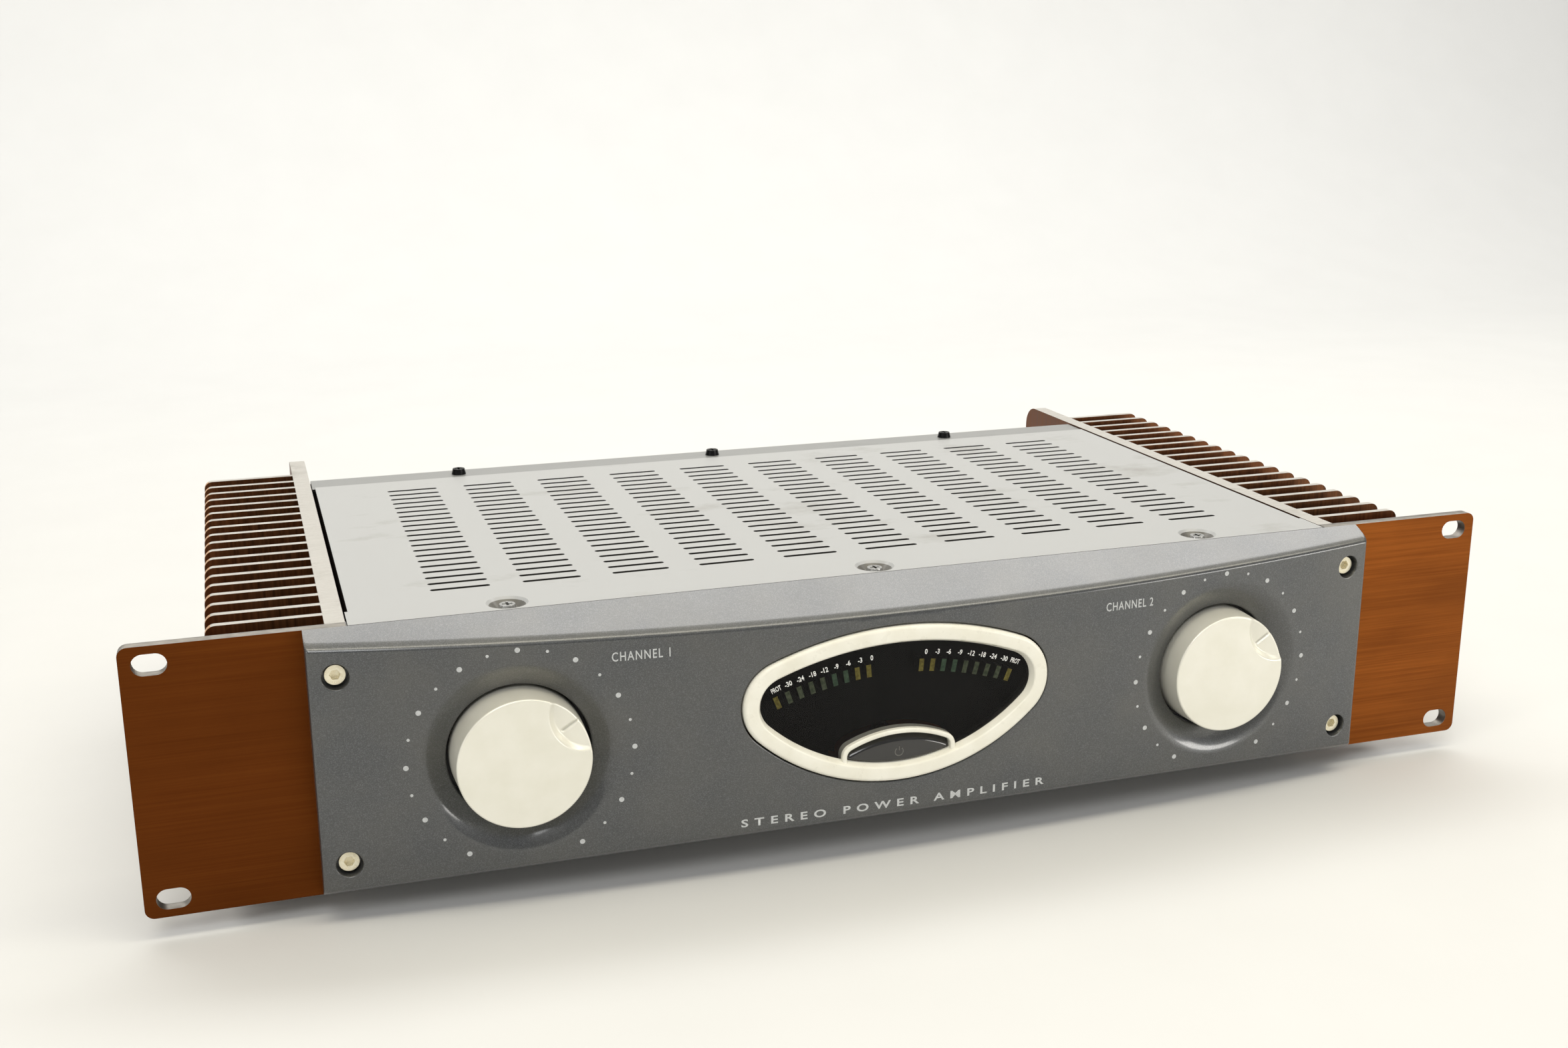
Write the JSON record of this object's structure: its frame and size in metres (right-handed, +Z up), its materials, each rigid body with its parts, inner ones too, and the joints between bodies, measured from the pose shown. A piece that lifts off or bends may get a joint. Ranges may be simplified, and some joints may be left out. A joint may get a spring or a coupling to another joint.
{
  "type": "power amplifier",
  "caption": "Rack-mount stereo power amplifier: curved front with level dials and a lens-shaped meter window, vented lid and finned heat sinks.",
  "frame": {"origin": "centre of the four rack slots, on the front face of the rack panel", "axes": "+X to the right seen from the front, +Y from the front to the back, +Z up"},
  "size_m": [0.4826, 0.2677, 0.0977],
  "materials": {
    "anodised_panel": "brushed",
    "fascia_plastic": "fine metallic flake",
    "ivory_plastic": "satin",
    "smoked_lens": "polished",
    "black_plastic": "polished",
    "black_moulding": "satin",
    "circuit_board": "satin",
    "lamp": "clear",
    "knob_plastic": "satin metallic",
    "steel_shaft": "turned",
    "zinc_screw": "zinc plated",
    "dark_screw": "blackened",
    "sink_metal": "anodised",
    "painted_sheet": "fine texture",
    "plated_sheet": "zinc plated",
    "rubber": "matte",
    "copper_wound": "wrapped",
    "capacitor_sleeve": "satin",
    "relay_case": "satin",
    "gold": "plated",
    "nickel": "plated",
    "red_plastic": "satin"
  },
  "bodies": {
    "chassis": {"rack_panel": "anodised_panel", "panel_screws": "dark_screw", "fascia": "fascia_plastic", "fascia_screws": "zinc_screw", "display_bezel": "ivory_plastic", "display_lens": "smoked_lens", "button_bezel": "ivory_plastic", "power_switch": "black_moulding", "meter_board": "circuit_board", "meter_leds": "lamp", "pot_body_left": "plated_sheet", "pot_body_right": "plated_sheet", "bushing_nuts": "nickel", "heatsink_left": "sink_metal", "heatsink_right": "sink_metal", "top_cover": "painted_sheet", "cover_front_screws": "zinc_screw", "cover_rear_screws": "dark_screw", "front_rail": "plated_sheet", "chassis_tray": "plated_sheet", "side_screws": "zinc_screw", "feet": "rubber", "foot_screws": "zinc_screw", "toroidal_transformer": "copper_wound", "transformer_plate": "plated_sheet", "transformer_bolt": "zinc_screw", "amplifier_board_left": "circuit_board", "amplifier_board_right": "circuit_board", "supply_board": "circuit_board", "input_board": "circuit_board", "board_standoffs": "nickel", "power_transistors": "black_moulding", "transistor_screws": "zinc_screw", "filter_capacitors": "capacitor_sleeve", "bridge_rectifier": "black_moulding", "output_relays": "relay_case", "rear_panel": "painted_sheet", "mains_inlet": "black_moulding", "inlet_pins": "nickel", "xlr_sockets": "black_moulding", "xlr_inserts": "black_moulding", "connector_screws": "dark_screw", "jack_sockets": "black_moulding", "rca_sockets": "gold", "post_bases": "black_moulding", "post_stems": "gold", "mode_switch": "black_moulding"},
    "knob_left": {"knob_left": "knob_plastic", "pot_shaft_left": "steel_shaft"},
    "knob_right": {"knob_right": "knob_plastic", "pot_shaft_right": "steel_shaft"},
    "power_button": {"power_button": "black_plastic"},
    "fuse_drawer": {"fuse_drawer": "black_moulding"},
    "xlr_latch_left": {"xlr_latch_left": "black_moulding"},
    "xlr_latch_right": {"xlr_latch_right": "black_moulding"},
    "mode_slider": {"mode_slider": "black_moulding"},
    "post_cap_red_left": {"post_cap_red_left": "red_plastic"},
    "post_cap_black_left": {"post_cap_black_left": "black_plastic"},
    "post_cap_red_right": {"post_cap_red_right": "red_plastic"},
    "post_cap_black_right": {"post_cap_black_right": "black_plastic"}
  },
  "joints": [
    {"name": "knob_left_turn", "type": "hinge", "parent": "chassis", "child": "knob_left", "pos_m": [-0.1255, 0, -0.0004], "axis": [0, 1, 0], "range_deg": [-205, 95]},
    {"name": "knob_right_turn", "type": "hinge", "parent": "chassis", "child": "knob_right", "pos_m": [0.1255, 0, -0.0004], "axis": [0, 1, 0], "range_deg": [-201, 99]},
    {"name": "power_button_press", "type": "slide", "parent": "chassis", "child": "power_button", "axis": [0, 1, 0], "range_m": [0, 0.003], "stiffness_N_per_m": 400, "springref_m": -0.0005},
    {"name": "fuse_drawer_slide", "type": "slide", "parent": "chassis", "child": "fuse_drawer", "axis": [0, 1, 0], "range_m": [0, 0.015]},
    {"name": "xlr_latch_left_press", "type": "slide", "parent": "chassis", "child": "xlr_latch_left", "axis": [0, 0, -1], "range_m": [0, 0.001], "stiffness_N_per_m": 300, "springref_m": -0.0005},
    {"name": "xlr_latch_right_press", "type": "slide", "parent": "chassis", "child": "xlr_latch_right", "axis": [0, 0, -1], "range_m": [0, 0.001], "stiffness_N_per_m": 300, "springref_m": -0.0005},
    {"name": "mode_slider_slide", "type": "slide", "parent": "chassis", "child": "mode_slider", "axis": [1, 0, 0], "range_m": [-0.004, 0.004]},
    {"name": "post_cap_red_left_turn", "type": "hinge", "parent": "chassis", "child": "post_cap_red_left", "pos_m": [-0.088, 0.213, 0.014], "axis": [0, 1, 0], "range_deg": [0, 1080]},
    {"name": "post_cap_black_left_turn", "type": "hinge", "parent": "chassis", "child": "post_cap_black_left", "pos_m": [-0.069, 0.213, 0.014], "axis": [0, 1, 0], "range_deg": [0, 1080]},
    {"name": "post_cap_red_right_turn", "type": "hinge", "parent": "chassis", "child": "post_cap_red_right", "pos_m": [-0.038, 0.213, 0.014], "axis": [0, 1, 0], "range_deg": [0, 1080]},
    {"name": "post_cap_black_right_turn", "type": "hinge", "parent": "chassis", "child": "post_cap_black_right", "pos_m": [-0.019, 0.213, 0.014], "axis": [0, 1, 0], "range_deg": [0, 1080]}
  ]
}
